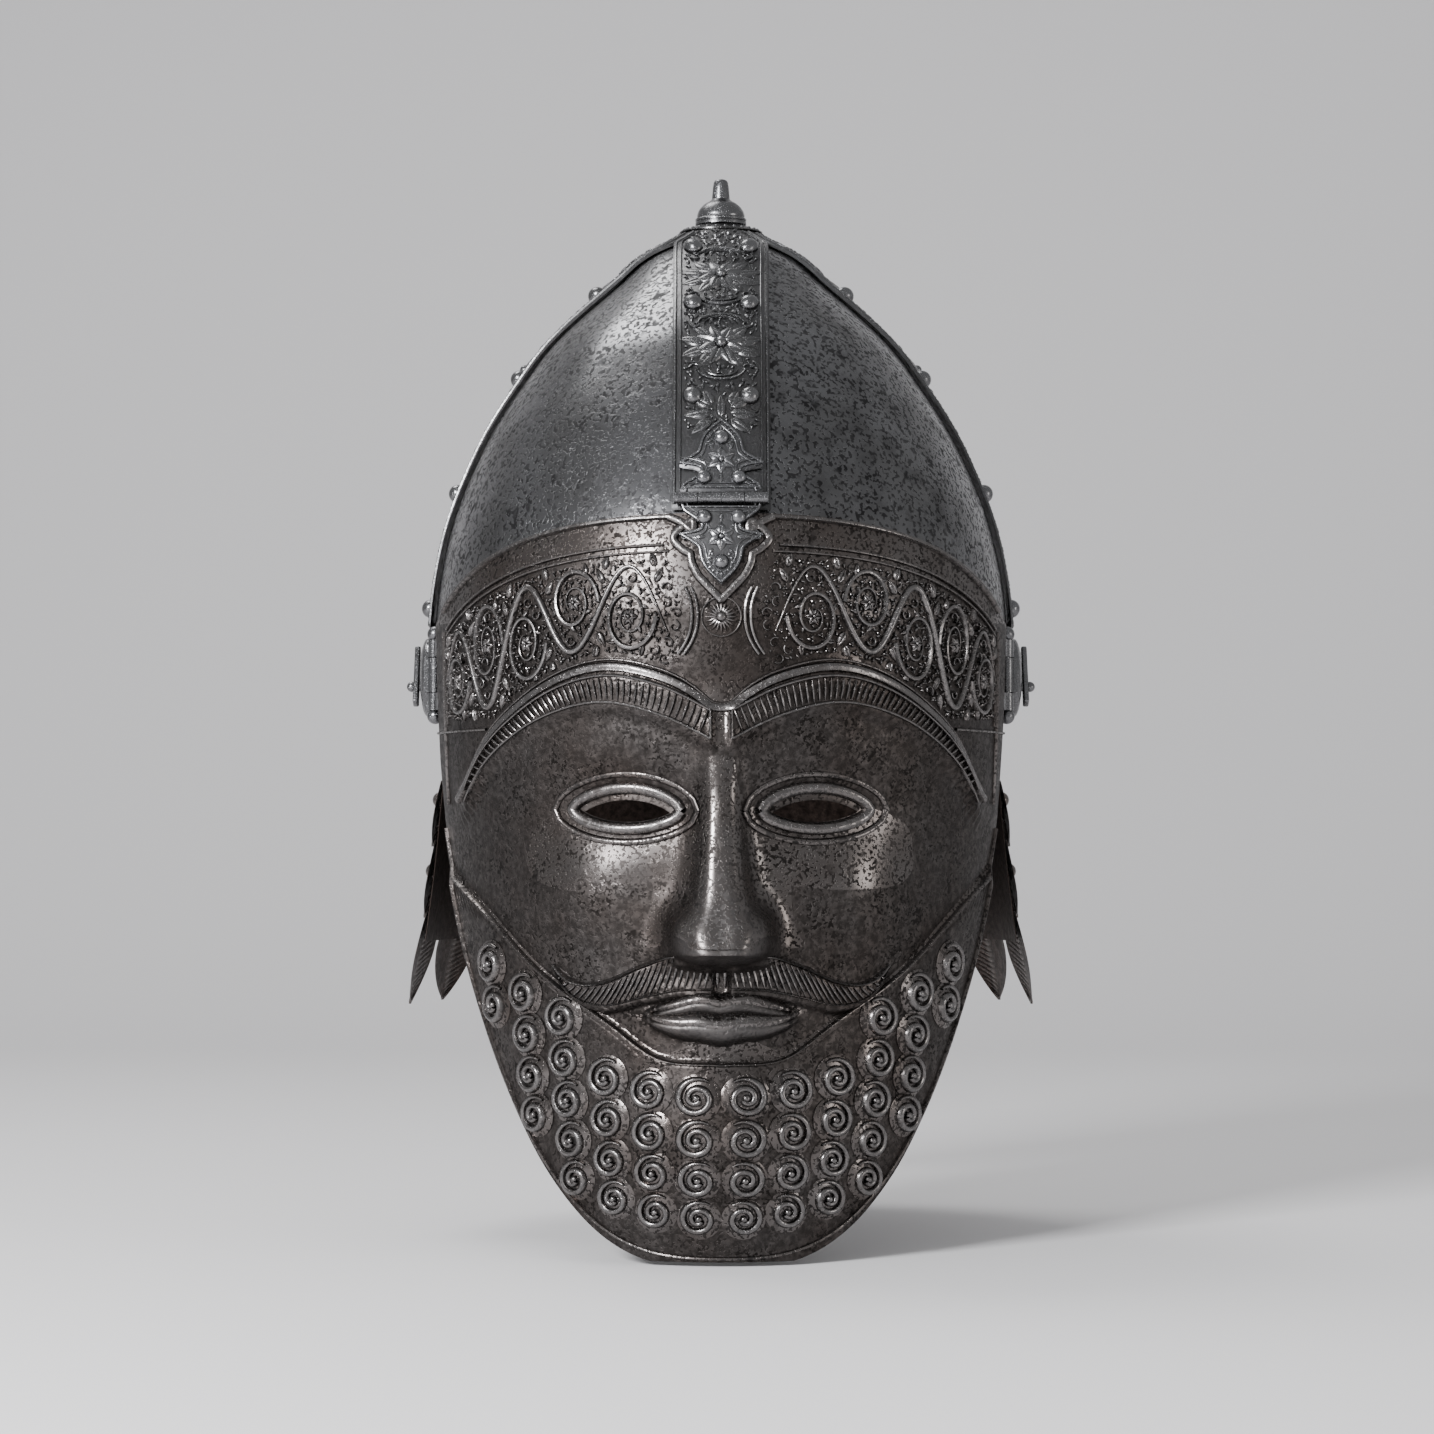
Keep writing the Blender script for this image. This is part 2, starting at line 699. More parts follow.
def finish_on_mask(name, bm, verts, rub_height):
    """Lays the right half of an ornament on the mask, mirrors it and finishes the piece."""
    wrap(bm, verts, mask_face, rub_height)
    mirror_across(bm)
    finish_piece(name, bm, "mask_body", "mask_steel")


def join(bm, other):
    """Adds another mesh to this one and frees it."""
    mesh = smooth_mesh("joined", other)
    bm.from_mesh(mesh)
    bpy.data.meshes.remove(mesh)


def outward(bm):
    bmesh.ops.remove_doubles(bm, verts=bm.verts, dist=0.002)
    bmesh.ops.recalc_face_normals(bm, faces=bm.faces)


def thicken(bm, thickness):
    """Gives an open sheet its wall, kept under the outer surface and dark with patina inside."""
    outer = set(bm.verts)
    bmesh.ops.solidify(bm, geom=bm.faces[:], thickness=thickness)
    grime = bm.verts.layers.float["grime"]
    for vertex in bm.verts:
        if vertex not in outer:
            vertex[grime] = 1
    bmesh.ops.recalc_face_normals(bm, faces=bm.faces)


def dent(place, depth, scale):
    return depth * noise.noise(place * scale)


# Materials


def link_new(tree, kind, **values):
    node = tree.nodes.new(kind)
    for key, value in values.items():
        if key in node.inputs:
            node.inputs[key].default_value = value
        else:
            setattr(node, key, value)
    return node


FINISH_COLORS = ("Dark", "Middle", "Tint", "Bright")
FINISH_SHARES = ("Pits", "Mottle", "Rub", "Grain Scale")
# Columns: the four colours, then the four shares, in the order of the two rows above
FINISHES = {
    "crown_steel": (
        (0.008, 0.0075, 0.008), (0.17, 0.17, 0.176), (0.088, 0.086, 0.084), (0.27, 0.27, 0.28),
        0.9, 0.45, 0.5, 640),
    "band_steel": (
        (0.01, 0.0095, 0.0095), (0.11, 0.11, 0.113), (0.075, 0.072, 0.07), (0.22, 0.22, 0.225),
        0.5, 0.35, 0.6, 1900),
    "mask_steel": (
        (0.009, 0.0078, 0.0072), (0.132, 0.121, 0.117), (0.078, 0.058, 0.049), (0.23, 0.225, 0.225),
        0.95, 0.4, 0.5, 850),
    "bright_steel": (
        (0.012, 0.011, 0.011), (0.14, 0.14, 0.145), (0.09, 0.088, 0.086), (0.28, 0.28, 0.29),
        0.45, 0.35, 0.6, 1900),
    "feather_steel": (
        (0.01, 0.0085, 0.008), (0.105, 0.078, 0.068), (0.07, 0.048, 0.039), (0.2, 0.195, 0.19),
        0.7, 0.5, 0.55, 1500),
}


def steel_group():
    """Patinated steel: tinted mottles, pits, dark ground and bright metal where relief is rubbed."""
    name = "Patinated Steel"
    if name in bpy.data.node_groups:
        return bpy.data.node_groups[name]
    tree = bpy.data.node_groups.new(name, "ShaderNodeTree")
    for labels, side, kind in (
        (FINISH_COLORS, "INPUT", "NodeSocketColor"),
        (FINISH_SHARES, "INPUT", "NodeSocketFloat"),
        (("Color",), "OUTPUT", "NodeSocketColor"),
        (("Roughness", "Height"), "OUTPUT", "NodeSocketFloat"),
    ):
        for label in labels:
            tree.interface.new_socket(name=label, in_out=side, socket_type=kind)
    given = tree.nodes.new("NodeGroupInput").outputs
    put = tree.nodes.new("NodeGroupOutput").inputs
    place = tree.nodes.new("ShaderNodeTexCoord").outputs["Object"]

    def feed(socket, value):
        if isinstance(value, float):
            socket.default_value = value
        else:
            tree.links.new(value, socket)

    def texture(scale, detail):
        node = link_new(tree, "ShaderNodeTexNoise", Detail=detail, Roughness=0.6)
        feed(node.inputs["Vector"], place)
        feed(node.inputs["Scale"], scale)
        return node.outputs["Fac"]

    def stretched(value, low, high):
        node = tree.nodes.new("ShaderNodeMapRange")
        for label, share in (("Value", value), ("From Min", low), ("From Max", high)):
            feed(node.inputs[label], share)
        return node.outputs["Result"]

    def worked(operation, a, b):
        node = tree.nodes.new("ShaderNodeMath")
        node.operation = operation
        node.use_clamp = True
        feed(node.inputs[0], a)
        feed(node.inputs[1], b)
        return node.outputs[0]

    def times(a, b):
        return worked("MULTIPLY", a, b)

    def plus(a, b):
        return worked("ADD", a, b)

    def less(a, b):
        return worked("SUBTRACT", a, b)

    def most(a, b):
        return worked("MAXIMUM", a, b)

    def mixed(share, a, b):
        node = tree.nodes.new("ShaderNodeMix")
        node.data_type = "RGBA"
        for socket, value in zip((node.inputs[0], node.inputs[6], node.inputs[7]), (share, a, b)):
            feed(socket, value)
        return node.outputs[2]

    def marked(name):
        """A share that the mesh keeps at each vertex."""
        return link_new(tree, "ShaderNodeAttribute", attribute_name=name).outputs["Fac"]

    broad = stretched(texture(26.0, 5.0), 0.36, 0.66)
    patch = stretched(texture(95.0, 5.0), 0.4, 0.62)
    fine = stretched(texture(given["Grain Scale"], 1.5), 0.535, 0.562)
    blots = stretched(texture(260.0, 4.0), 0.55, 0.61)
    spots = most(times(fine, plus(times(patch, 0.25), 0.75)), times(blots, patch))
    pits = times(spots, given["Pits"])
    dulled = times(times(broad, patch), given["Mottle"])
    metal = mixed(times(broad, 0.6), given["Middle"], given["Tint"])
    uneven = plus(times(stretched(texture(420.0, 3.0), 0.3, 0.62), 0.5), 0.5)
    rub = times(times(marked("rub"), given["Rub"]), uneven)
    grime = times(times(marked("grime"), 0.8), uneven)
    kept = times(most(most(pits, dulled), grime), less(1.0, times(rub, 0.75)))
    feed(put["Color"], mixed(rub, mixed(kept, metal, given["Dark"]), given["Bright"]))
    feed(put["Roughness"], less(plus(times(kept, 0.34), 0.23), times(rub, 0.06)))
    feed(put["Height"], less(1.0, times(pits, less(1.0, rub))))
    return tree


def steel_material(slot):
    """The slot's steel, made on first use."""
    name = slot.replace("_", " ").title()
    if name in bpy.data.materials:
        return bpy.data.materials[name]
    material = bpy.data.materials.new(name)
    material.use_nodes = True
    tree = material.node_tree
    shader = tree.nodes["Principled BSDF"]
    shader.inputs["Metallic"].default_value = 1.0
    group = tree.nodes.new("ShaderNodeGroup")
    group.node_tree = steel_group()
    for label, value in zip(FINISH_COLORS + FINISH_SHARES, FINISHES[slot]):
        group.inputs[label].default_value = (*value, 1) if label in FINISH_COLORS else value
    bump = link_new(tree, "ShaderNodeBump", Strength=0.6, Distance=0.00014)
    tree.links.new(group.outputs["Color"], shader.inputs["Base Color"])
    tree.links.new(group.outputs["Roughness"], shader.inputs["Roughness"])
    tree.links.new(group.outputs["Height"], bump.inputs["Height"])
    tree.links.new(bump.outputs["Normal"], shader.inputs["Normal"])
    return material


# Crown, bands, cap and finial


def crown_shell(settings):
    """The hammered crown with its face opening."""
    edge = math.degrees(math.acos(CROWN_EDGE / (CROWN_HALF_WIDTH * CROWN_DEPTH_RATIO)))
    notch = MASK_SIDE_ANGLE + 0.4
    barrel_top = SIDE_KNUCKLES[1][1] + 2 * HASP_BALL_RADIUS + 0.1
    depth = settings.dent_depth / MM

    def foot(degrees):
        turn = abs((degrees + 180) % 360 - 180)
        if turn > edge - 0.01:
            return 0
        if turn > MASK_SIDE_ANGLE + 0.1:
            return barrel_top
        return mask_top(turn) - MASK_OVERLAP

    front = [-edge + 0.02, -notch] + steps(-MASK_SIDE_ANGLE, MASK_SIDE_ANGLE, 72) + [notch, edge - 0.02]
    back = steps(edge, 360 - edge, 100)
    columns = front + back
    tip = height_at(CLIMB[-1]) - 6.2
    shares = [1 - (1 - k / 70) ** 1.35 for k in range(71)]

    def place(degrees, share):
        z = foot(degrees) + (tip - foot(degrees)) * share
        return crown_place(degrees, z, dent(crown_place(degrees, z, 0), depth, 0.03) - depth * 0.5)

    bm = new_mesh()
    add_grid(bm, columns, shares, place)
    bmesh.ops.remove_doubles(bm, verts=bm.verts, dist=0.01)
    thicken(bm, CROWN_WALL)
    finish_piece("crown_shell", bm, "root", "crown_steel", ["crown"])


def band_ornament(bm, face, foot, rivet_heights, settings):
    """Border lines, lily flowers, crescents, leaf sprays and rivets on one band."""
    verts = []
    edge = BAND_WIDTH / 2 - 0.9
    low, high = length_at(foot) + 0.6, length_at(BAND_TOP) - 1
    rows = steps(low, high, 70)

    def narrowed(y):
        return 0.68 * crown_half_width(height_at(y))

    for side in (-1, 1):
        for inset, width in ((0, 1.3), (2, 0.5)):
            path = [Vector((side * (min(edge, narrowed(y) - 0.8) - inset), y)) for y in rows]
            verts += add_ridge(bm, path, width, 0.6)
    for z in rivet_heights:
        for side in (-1, 1):
            verts += add_ball(bm, side * (BAND_WIDTH / 2 - BAND_RIVET_INSET), length_at(z),
                              settings.rivet_radius / MM, segments=20)
    for z in FLOWER_HEIGHTS:
        verts += add_lily(bm, 0, length_at(z), 10.6)
    for z, hand in CRESCENTS:
        verts += add_crescent(bm, 0, length_at(z), hand)
    y = length_at(106)
    while y > low + 12 and (foot < 60 or y > length_at(100)):
        verts += leaf_clump(bm, y)
        y -= 19
    start = length_at(HINGE_HEIGHT + LEAF_LENGTH - 3) if foot > 60 else low

    def inside(x, y, size):
        return y > start and abs(x) + size < min(edge, narrowed(y) - 0.8) - 2.6

    verts += fill_ground(bm, verts, inside, ((-edge, start), (edge, high)), (2.4, 1.8, 1.3, 0.95, 0.75))
    wrap(bm, verts, face, 1.15)


def add_lily(bm, x, y, radius):
    """An eight-petalled lily over a fan of pointed leaves."""
    verts = []
    for side in (-1, 1):
        for lean in (-0.95, -0.38, 0.2, 0.78):
            angle = on_side(lean, side)
            start = radius * 0.5
            verts += add_leaf(bm, x + start * math.cos(angle), y + start * math.sin(angle) * 0.9, angle,
                              radius * (0.86 if abs(lean) < 0.6 else 0.7), radius * 0.46, 0.9, 6)
    return verts + add_flower(bm, x, y, radius * 0.9, 8, 1.7, turn=math.pi / 8, ribs=0, core=0.19)


def add_crescent(bm, x, y, hand):
    """A crescent scroll with curled ends, opened upwards or downwards."""
    verts = []
    for reach, width in ((7.8, 1.3), (5.6, 0.8)):
        path = arc(x, y + hand * 2.6, reach, hand * reach * 0.62, -math.pi, 0, 30)
        verts += add_ridge(bm, path, width, 0.9, both_ends)
    for side in (-1, 1):
        curl = arc(x + side * 8.6, y + hand * 2.8, side * 1.9, hand * 1.9, 0, 5.4, 20, shrink=1 / 8)
        verts += add_ridge(bm, curl, 0.9, 0.9, far_end)
        turn = (math.pi / 2 - side * 0.5) * hand
        verts += add_leaf(bm, x + side * 2.6, y - hand * 0.4, turn, 3.4, 1.6, 0.8, 3)
    return verts


def leaf_clump(bm, y):
    """Four broad veined leaves on each side of a short stem."""
    verts = []
    for side in (-1, 1):
        for lean, length, start in ((1.15, 6.4, 2), (0.55, 9, 1), (-0.1, 9.4, -1.5), (-0.7, 8.6, -4)):
            verts += add_leaf(bm, side * 3.2, y + start, on_side(lean, side), length, 4.6, 0.95, 8, 0.6)
    verts += add_leaf(bm, 0, y - 3, math.pi / 2, 9, 3.8, 1, 7)
    return verts + add_ball(bm, 0, y - 5, 1.2, segments=10)


def build_band(name, middle, foot, rivet_heights, settings):
    face = band_face(middle)
    low, high = length_at(foot), length_at(BAND_TOP)
    bm = new_mesh()
    across = 0.699 * band_spread(middle)
    widths = Sampled(lambda y: min(BAND_WIDTH / 2, across * crown_half_width(height_at(y))), low, high, 0.5)
    strip = add_grid(bm, steps(-1, 1, 16), steps(low, high, 90), lambda u, y: Vector((u * widths(y), y, 0)))
    wrap(bm, strip, face)
    thicken(bm, BAND_THICKNESS)
    ornament = new_mesh()
    band_ornament(ornament, face, foot, rivet_heights, settings)
    join(bm, ornament)
    finish_piece(name + "_relief", bm, "root", "band_steel", [name])


def spin_profile(bm, profile, count):
    """A turned piece: a profile of (radius, height) spun round the upright axis."""
    verts = [bm.verts.new((radius, 0, height)) for radius, height in profile]
    edges = [bm.edges.new(pair) for pair in zip(verts, verts[1:])]
    bmesh.ops.spin(bm, geom=verts + edges, cent=(0, 0, 0), axis=(0, 0, 1), angle=2 * math.pi,
                   steps=count, use_merge=True, use_duplicate=False)


def node_heights(node):
    """Lowest and highest point of one of the frame's nodes."""
    low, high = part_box(node)
    return low[2] / MM, high[2] / MM


def cap_plate():
    """The turned plate over the meeting of the bands, with a ring of pearls."""
    foot, top = node_heights("cap_plate")
    bm = new_mesh()
    spin_profile(bm, [(0, foot), (14.6, foot), (15.1, foot + 0.4), (15.1, foot + 0.8), (14.4, foot + 1.15),
                      (12.6, foot + 1.2), (12.2, foot + 1.5), (9.6, top - 0.1), (9.2, top), (0, top)], 64)
    outward(bm)
    for angle in steps(0, 2 * math.pi, 26)[:-1]:
        pearl = add_ball(bm, 13.4 * math.cos(angle), 13.4 * math.sin(angle), 0.85, foot + 1.1, segments=10)
        set_rub(bm, pearl, 0.9)
    finish_piece("cap_plate_turned", bm, "root", "band_steel", ["cap_plate"])


def finial():
    """The turned finial: two rings, a dome and a blunt spike."""
    foot, top = node_heights("finial")
    dome = foot + 2.8
    spike = top - 7.2
    profile = [(0, foot), (9, foot), (9.25, foot + 0.2), (9.25, foot + 1.1), (8.9, foot + 1.3),
               (8.9, foot + 1.5), (9.25, foot + 1.7), (9.25, dome - 0.5), (8.9, dome - 0.1), (8.5, dome)]
    for angle in steps(0, math.pi / 2, 16)[1:]:
        radius = 8.7 * math.cos(angle)
        if radius > 3.5:
            profile.append((radius, dome + (spike - dome) * math.sin(angle)))
    profile += [(3.25, spike), (3.2, spike + 0.8), (2.9, top - 3), (2.6, top - 1.1), (2.1, top - 0.35),
                (1.2, top), (0, top)]
    bm = new_mesh()
    spin_profile(bm, profile, 64)
    outward(bm)
    set_rub(bm, bm.verts, 0.35)
    finish_piece("finial_turned", bm, "root", "bright_steel", ["finial"])


# Forehead hinge


def leaf_width(reach):
    """Half width of the pagoda-shaped leaf, from its straight foot to its tip."""
    if reach <= LEAF_OUTLINE[0][0]:
        return LEAF_OUTLINE[0][1]
    for (a, wide), (b, narrow) in zip(LEAF_OUTLINE, LEAF_OUTLINE[1:]):
        if reach <= b:
            return wide + (narrow - wide) * (reach - a) / (b - a)
    return 0


def outline_path(inset, side):
    """The leaf's outline drawn in from its edge, from foot to tip on one side."""
    points = [Vector((side * wide, reach)) for reach, wide in LEAF_OUTLINE]
    path = []
    for k, point in enumerate(points):
        ahead = points[min(k + 1, len(points) - 1)] - points[max(k - 1, 0)]
        aside = Vector((-ahead.y, ahead.x)).normalized() * side
        moved = point + aside * inset
        moved.x = side * max(side * moved.x, 0)
        path.append(moved)
    path[-1] = Vector((0, points[-1].y - inset * 1.5))
    return smooth_path(path, 48)


def leaf_relief(bm):
    """What is raised on a hinge leaf: a double border, a flower, leaf sprays and three rivets."""
    verts = []
    for side in (-1, 1):
        verts += add_ridge(bm, outline_path(0.6, side), 1.3, 0.7)
        verts += add_ridge(bm, outline_path(2.2, side), 0.6, 0.45)
        for x, y, turn, length, width, height, ribs in (
            (5, 10.6, on_side(0.1, side), 4.8, 2, 0.6, 3),
            (2.6, 14.4, math.pi / 2 - side * 0.5, 3.4, 1.5, 0.6, 3),
            (3.4, 7.2, on_side(-0.5, side), 2.6, 1.2, 0.5, 2),
        ):
            verts += add_leaf(bm, side * x, y, turn, length, width, height, ribs)
        verts += add_ball(bm, side * 5.6, 4.1, LEAF_RIVET_RADIUS, segments=20)
        for k in range(6):
            angle = math.pi / 2 - side * (0.3 + k * 0.4)
            x, y = 2.9 * math.cos(angle), 19 + 2.9 * math.sin(angle)
            verts += add_leaf(bm, x, y, angle, 2.1, 1.1, 0.5, 0, rows=6)
    for y, width in ((0.7, 1), (2.2, 0.5)):
        half = leaf_width(y) - 0.8
        verts += add_ridge(bm, [Vector((x, y)) for x in steps(-half, half, 12)], width, 0.5)
    verts += add_flower(bm, 0, 10.6, 5.0, 6, 1.2, turn=math.pi / 2, ribs=0)
    verts += add_leaf(bm, 0, 2.6, math.pi / 2, 3.6, 1.8, 0.6, 3)
    verts += add_leaf(bm, 0, 22, math.pi / 2, 3, 1.4, 0.5, 3)
    return verts + add_ball(bm, 0, 19, LEAF_RIVET_RADIUS, segments=20)


def hinge_leaf(node, body, face, knuckles, turned):
    """A chased hinge leaf with its knuckles."""
    plate, raised = new_mesh(), new_mesh()
    flat = add_grid(plate, steps(-1, 1, 16), steps(0.2, 26.55, 60),
                    lambda u, y: Vector((u * max(leaf_width(y), 0.05), y, 0)))
    wrap(plate, flat, face)
    wrap(raised, leaf_relief(raised), face, 0.9)
    if turned:
        for bm in (plate, raised):
            bmesh.ops.reverse_faces(bm, faces=bm.faces)
    thicken(plate, LEAF_THICKNESS)
    join(plate, raised)
    across = Matrix.Rotation(math.pi / 2, 4, "Y")
    for low, high in knuckles:
        centre = Matrix.Translation(((low + high) / 2, HINGE_BACK, HINGE_HEIGHT))
        set_rub(plate, add_cylinder(plate, BARREL_RADIUS, high - low, centre @ across), 0.4)
    finish_piece(node + "_chased", plate, body, "bright_steel", [node])


def hinge_leaves():
    half = HINGE_LENGTH / 2
    quarter = half / 2
    band = band_face(0)
    foot = length_at(HINGE_HEIGHT) + 1.9
    top = HINGE_HEIGHT - LEAF_DROP
    seat = LEAF_SEAT + LEAF_THICKNESS
    hinge_leaf("upper_leaf", "root", lambda x, y, lift: band(x, foot + y, lift + seat),
               [(-half, -quarter - 0.15), (quarter + 0.15, half)], False)
    hinge_leaf("lower_leaf", "mask_body", lambda x, y, lift: mask_face(x, top - y, lift + seat),
               [(-quarter + 0.15, -0.08), (0.08, quarter - 0.15)], True)


# Mask


def almond(share, upper):
    """Height of an eye's rim over its corners, by the share of its width from the outer corner."""
    rise = EYE_OPENING * (0.56 if upper else -0.45)
    return rise * (4 * share * (1 - share)) ** 0.75 - 0.6 * (1 - share)


def mask_grime(degrees, x, z):
    """Share of dark patina on the mask's ground: full in the ornament, the brows and the beard."""
    side = abs(x)
    in_field = smooth_step(mask_top(degrees) - z, 13, 14.5) * smooth_step(z - field_low(side), -0.5, 1)
    depth = brow_depth(side)
    in_brow = 1 - smooth_step(abs(z - brow_line(side)), depth - 0.5, depth + 0.8)
    in_beard = 0.85 * smooth_step(beard_line(side) - z, -0.5, 2)
    depth = moustache_depth(side)
    in_moustache = 1 - smooth_step(abs(z - moustache_line(side)), depth, depth + 1.5)
    if not 2 < side < 88:
        in_brow = 0
    if not 2 < side < 58:
        in_moustache = 0
    return max(0.45 * in_field, 0.7 * in_brow, in_beard, 0.6 * in_moustache)


def across_eye(x):
    """Share of an eye's width at a plain sideways distance, from its inner corner."""
    return (abs(x) - (EYE_SPACING - EYE_WIDTH) / 2) / EYE_WIDTH


def plain_x(degrees, z):
    return mask_spans(z)[0] * math.sin(math.radians(degrees))


def in_eye(degrees, z):
    x = plain_x(degrees, z)
    share = across_eye(x)
    return 0 < share < 1 and almond(share, False) < z - EYE_HEIGHT < almond(share, True)


def mask_shell():
    """The mask's wall with the face on it and both eyes cut through."""
    outer = steps(FACE_ANGLE, MASK_SIDE_ANGLE, 29)[1:]
    columns = [-degrees for degrees in reversed(outer)] + steps(-FACE_ANGLE, FACE_ANGLE, 140) + outer
    rows = steps(1, 0.78, 34) + steps(0.78, 0.34, 140)[1:] + steps(0.34, 0, 50)[1:]
    bm = new_mesh()
    add_grid(bm, columns, rows, lambda degrees, share: Vector((
        degrees, mask_top(degrees) + (mask_foot(degrees) - mask_top(degrees)) * share, 0)))
    centres = [(face, face.calc_center_median()) for face in bm.faces]
    eyes = [face for face, centre in centres if in_eye(centre.x, centre.y)]
    bmesh.ops.delete(bm, geom=eyes, context="FACES")
    for vertex in bm.verts:
        degrees, z = vertex.co.x, vertex.co.y
        if vertex.is_boundary and abs(z - EYE_HEIGHT) < 12 and abs(degrees) < 40:
            share = clamp(across_eye(plain_x(degrees, z)))
            vertex.co.y = EYE_HEIGHT + almond(share, z > EYE_HEIGHT - 0.3)
    rub = bm.verts.layers.float["rub"]
    grime = bm.verts.layers.float["grime"]
    for vertex in bm.verts:
        degrees, z = vertex.co.x, vertex.co.y
        x = plain_x(degrees, z)
        nose = smooth_step(broad_relief(x, z), 9, 19) if z < MASK_SEAT else 0
        vertex[rub] = clamp(0.45 * nose + 0.09 * lips(abs(x), z))
        vertex[grime] = mask_grime(degrees, x, z)
        vertex.co = mask_place(degrees, z, dent(Vector((x, 0, z)), 0.2, 0.05) - 0.12)
    thicken(bm, MASK_WALL)
    for vertex in bm.verts:
        vertex.co.z = max(vertex.co.z, MASK_CHIN)
    finish_piece("mask_shell", bm, "mask_body", "mask_steel", ["mask"], crease=50)


def girth_of(x, z):
    """Length round the mask for a plain sideways distance."""
    width = mask_spans(z)[0]
    degrees = math.degrees(math.asin(clamp(abs(x) / width, 0, 0.999)))
    return math.copysign(girth_at(degrees) * width, x)


def on_mask(points):
    """Flat points given by plain sideways distance, laid out by length round the mask."""
    return [Vector((girth_of(point[0], point[1]), point[1])) for point in points]


def border_height(length, drop):
    """Height of a line that keeps a distance below the mask's top edge."""
    degrees = mask_degrees(length, 50)
    return mask_top(min(abs(degrees), MASK_SIDE_ANGLE)) - drop


def field_low(side):
    """Lower edge of the forehead's ornament, over the brow's moulding and the temple's seam."""
    return max(brow_line(max(side, 3)) + brow_depth(side) + 6.2 - 3 * hump(side, 7), 2)


def forehead_frames():
    """Raised lines of the forehead: the edge, the hinge frame, the field's frame and the brow moulding."""
    bm = new_mesh()
    end = 128
    verts = []
    edge = [Vector((x, border_height(x, 1.2))) for x in steps(17.5, end, 80)]
    verts += add_ridge(bm, edge, 2, 1.2)
    frame_line = [Vector((point.x, HINGE_HEIGHT - LEAF_DROP - point.y)) for point in outline_path(-3.2, 1)]
    frame_line[0] = Vector((17.5, border_height(17.5, 1.2)))
    frame_line = smooth_path(frame_line[::4] + [frame_line[-1]], 70)
    verts += add_ridge(bm, frame_line, 3.2, 1.5, sides=6)
    for drop, width, start in ((10.6, 1.3, 19.5), (12.9, 1.1, 17.5)):
        line = [Vector((x, border_height(x, drop))) for x in steps(start, 123, 70)]
        verts += add_ridge(bm, line, width, 0.9)
    for rise, width, height in ((2.9, 3.4, 1.5), (5.3, 1.1, 0.9)):
        line = []
        for x in steps(0, 91, 80):
            dip = 3 * hump(x, 7) * (1 if rise > 4 else 0.6)
            line.append((x, brow_line(max(x, 3)) + brow_depth(x) + rise - dip))
        verts += add_ridge(bm, on_mask(line), width, height, sides=6)
    seam = on_mask([(x, 1 - 0.02 * x) for x in steps(80, 99, 12)])
    verts += add_ridge(bm, seam, 1.3, 0.9)
    verts += add_ridge(bm, [Vector((end - 3.2, z)) for z in steps(23, 1, 16)], 1, 0.8)
    verts += add_ridge(bm, [Vector((end - 1, z)) for z in steps(34, -26, 30)], 1.6, 1)
    wrap(bm, verts, mask_face, 1.8)
    mirror_across(bm)
    wrap(bm, rosette(bm), mask_face, 1.2)
    finish_piece("forehead_frames", bm, "mask_body", "mask_steel")


def rosette(bm):
    """The daisy over the nose, with an hourglass frame on each side of it."""
    y = ROSETTE_HEIGHT
    verts = add_flower(bm, 0, y, 5.7, 20, 1.1, ribs=0, core=0.32, fullness=1.2)
    verts += add_flower(bm, 0, y, 2.6, 8, 1.7, ribs=0, core=0.35)
    verts += add_ridge(bm, arc(0, y, 6.5, 6.5, 0, 2 * math.pi, 48), 0.7, 0.8)
    for side in (-1, 1):
        for gap in (7.8, 9.7):
            line = [Vector((side * (gap + 6.5 * abs(t) ** 2.2), y + 0.5 + 15 * t))
                    for t in steps(-0.86, 0.62, 40)]
            verts += add_ridge(bm, line, 1.4, 1.1)
    return verts


def add_scroll(bm, x, y, wide, tall, hand, turns=1.75, width=2.3):
    """A vine scroll that starts on its left, winds in to a flower and has leaves along its back."""
    count = 56
    path = []
    for k in range(count + 1):
        share = k / count
        angle = math.pi + hand * 2 * math.pi * turns * share
        reach = 1 - 0.8 * share ** 0.85
        path.append(Vector((x + wide * reach * math.cos(angle), y + tall * reach * math.sin(angle))))
    verts = add_ridge(bm, path, width, 1.5, far_end)
    for k in range(5, 40, 6):
        ahead = path[k + 1] - path[k - 1]
        angle = math.atan2(ahead.y, ahead.x)
        size = 1 - k / 80
        verts += add_leaf(bm, path[k].x, path[k].y, angle - hand * 0.8, wide * 0.5 * size,
                          wide * 0.27 * size, 1.3, 3)
    return verts + add_flower(bm, x, y, wide * 0.34, 6, 1.5, ribs=0)


